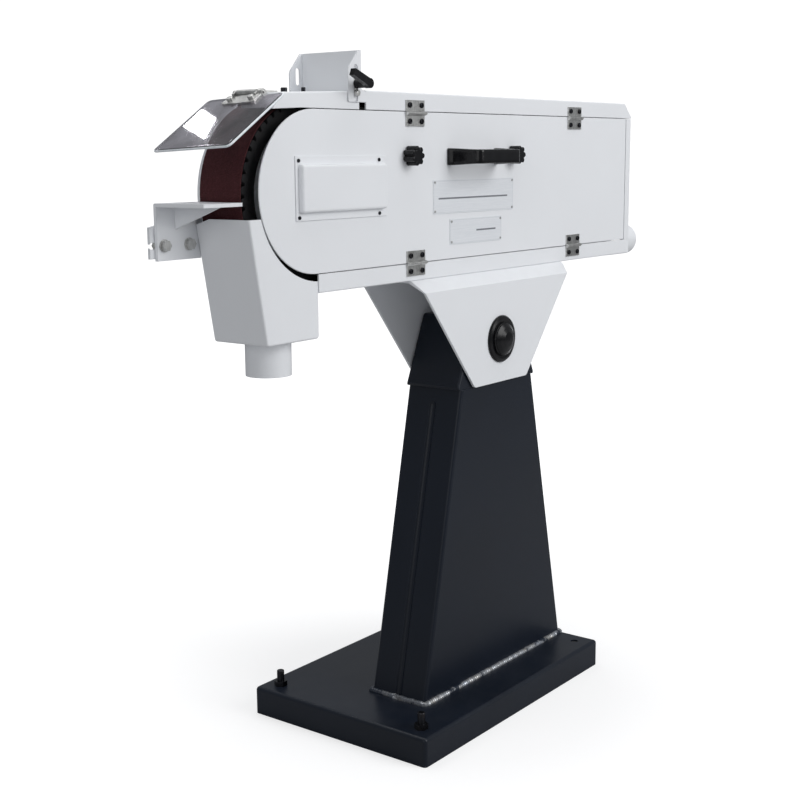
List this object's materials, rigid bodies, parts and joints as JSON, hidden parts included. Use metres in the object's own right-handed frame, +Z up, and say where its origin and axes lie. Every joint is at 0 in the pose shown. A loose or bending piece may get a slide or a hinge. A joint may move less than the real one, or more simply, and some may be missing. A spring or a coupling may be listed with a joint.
{
  "type": "belt grinder",
  "caption": "Pedestal belt grinder: a tilting head with a contact wheel, abrasive belt, hinged door and lid, work table, eye shield and dust hopper on a tapered column.",
  "frame": {"origin": "centre of the base tray's underside, on the floor", "axes": "+Z up; +X to the rear, away from the contact wheel; -Y the door side, +Y the motor side"},
  "size_m": [1.182, 0.441, 1.0555],
  "materials": {
    "white_paint": "powder coat, slight sheen",
    "dark_paint": "satin powder coat",
    "weld_steel": "weld bead",
    "black_steel": "black oxide",
    "zinc_steel": "zinc plated",
    "black_plastic": "moulded",
    "abrasive": "coarse abrasive grain",
    "tread_rubber": "matt",
    "aluminium": "turned",
    "black_paint": "matt",
    "platen_steel": "ground",
    "motor_paint": "painted",
    "clear_sheet": "clear",
    "plate_face": "printed plate, blank",
    "green_plastic": "gloss",
    "red_plastic": "gloss"
  },
  "bodies": {
    "stand": {"base_plinth": "dark_paint", "base_bolts": "black_steel", "column": "dark_paint", "foot_weld": "weld_steel", "column_head": "dark_paint"},
    "head": {"yoke_near": "white_paint", "yoke_far": "white_paint", "pivot_shaft": "black_steel", "pivot_caps": "black_plastic", "back_plate": "white_paint", "housing_floor": "white_paint", "housing_rear": "white_paint", "rear_spigot": "white_paint", "front_hood": "white_paint", "hood_fixings": "black_steel", "clamp_post": "zinc_steel", "dust_hopper": "white_paint", "hopper_outlet": "white_paint", "wheel_axle": "zinc_steel", "abrasive_belt": "abrasive", "platen": "platen_steel", "door_posts": "zinc_steel", "motor_housing": "motor_paint", "motor_fan_cover": "dark_paint", "switch_box": "black_plastic", "cable_gland": "black_plastic", "hinge_skirt_leaves": "zinc_steel", "hinge_screws_skirt": "black_steel", "shield_hinge_base": "zinc_steel", "table_bracket": "white_paint"},
    "contact_wheel": {"contact_wheel_tyre": "tread_rubber", "contact_wheel_rim": "aluminium", "contact_wheel_web": "black_paint"},
    "drive": {"drive_drum": "aluminium", "motor_shaft": "zinc_steel"},
    "door": {"door_panel": "white_paint", "hinge_door_low_leaves": "zinc_steel", "hinge_door_top_leaves": "zinc_steel", "hinge_screws_door_low": "black_steel", "hinge_screws_door_top": "black_steel", "door_handle": "black_plastic", "access_cover": "white_paint", "access_cover_screws": "black_steel", "nameplate_large": "plate_face", "nameplate_small": "plate_face", "nameplate_rivets": "zinc_steel"},
    "lid": {"top_cover": "white_paint", "hinge_cover_leaves": "zinc_steel", "hinge_screws_cover": "black_steel"},
    "knob_front": {"star_knob_front": "black_plastic"},
    "knob_rear": {"star_knob_rear": "black_plastic"},
    "stop_plate": {"work_stop": "white_paint"},
    "lever": {"clamp_lever": "black_plastic"},
    "shield": {"eye_shield": "clear_sheet", "shield_strap": "zinc_steel", "shield_screws": "zinc_steel"},
    "table": {"work_table": "white_paint", "table_bolts": "zinc_steel"},
    "start": {"start_button": "green_plastic"},
    "stop": {"stop_button": "red_plastic"}
  },
  "joints": [
    {"name": "head_tilt", "type": "hinge", "parent": "stand", "child": "head", "pos_m": [0.048, -0.046, 0.613], "axis": [0, 1, 0], "range_deg": [0, 60]},
    {"name": "wheel_spin", "type": "hinge", "parent": "head", "child": "contact_wheel", "pos_m": [-0.375, -0.0177, 0.858], "axis": [0, 1, 0], "continuous": true},
    {"name": "drive_spin", "type": "hinge", "parent": "head", "child": "drive", "pos_m": [0.32841, -0.0177, 0.923], "axis": [0, 1, 0], "continuous": true},
    {"name": "door_swing", "type": "hinge", "parent": "head", "child": "door", "pos_m": [0, -0.07885, 0.7488], "axis": [1, 0, 0], "range_deg": [0, 100]},
    {"name": "lid_swing", "type": "hinge", "parent": "door", "child": "lid", "pos_m": [0, -0.07885, 0.9712], "axis": [1, 0, 0], "range_deg": [0, 155]},
    {"name": "front_knob_turn", "type": "hinge", "parent": "door", "child": "knob_front", "pos_m": [-0.163, -0.09, 0.909], "axis": [0, 1, 0], "continuous": true},
    {"name": "rear_knob_turn", "type": "hinge", "parent": "door", "child": "knob_rear", "pos_m": [0.119, -0.09, 0.909], "axis": [0, 1, 0], "continuous": true},
    {"name": "stop_slide", "type": "slide", "parent": "head", "child": "stop_plate", "axis": [0, 0, 1], "range_m": [-0.008, 0.006]},
    {"name": "clamp_turn", "type": "hinge", "parent": "head", "child": "lever", "pos_m": [-0.287, -0.09, 1.009], "axis": [0, 1, 0], "range_deg": [-60, 60]},
    {"name": "shield_tilt", "type": "hinge", "parent": "head", "child": "shield", "pos_m": [-0.4545, -0.029, 0.9935], "axis": [0, 1, 0], "range_deg": [-5, 95]},
    {"name": "table_slide", "type": "slide", "parent": "head", "child": "table", "axis": [-1, 0, 0], "range_m": [0, 0.016]},
    {"name": "start_press", "type": "slide", "parent": "head", "child": "start", "axis": [0, -1, 0], "range_m": [0, 0.002], "stiffness_N_per_m": 400, "springref_m": -0.002},
    {"name": "stop_press", "type": "slide", "parent": "head", "child": "stop", "axis": [0, -1, 0], "range_m": [0, 0.003], "stiffness_N_per_m": 400, "springref_m": -0.002}
  ],
  "couplings": [
    {"joint": "drive_spin", "follows": "wheel_spin", "ratio": 2.0833}
  ]
}
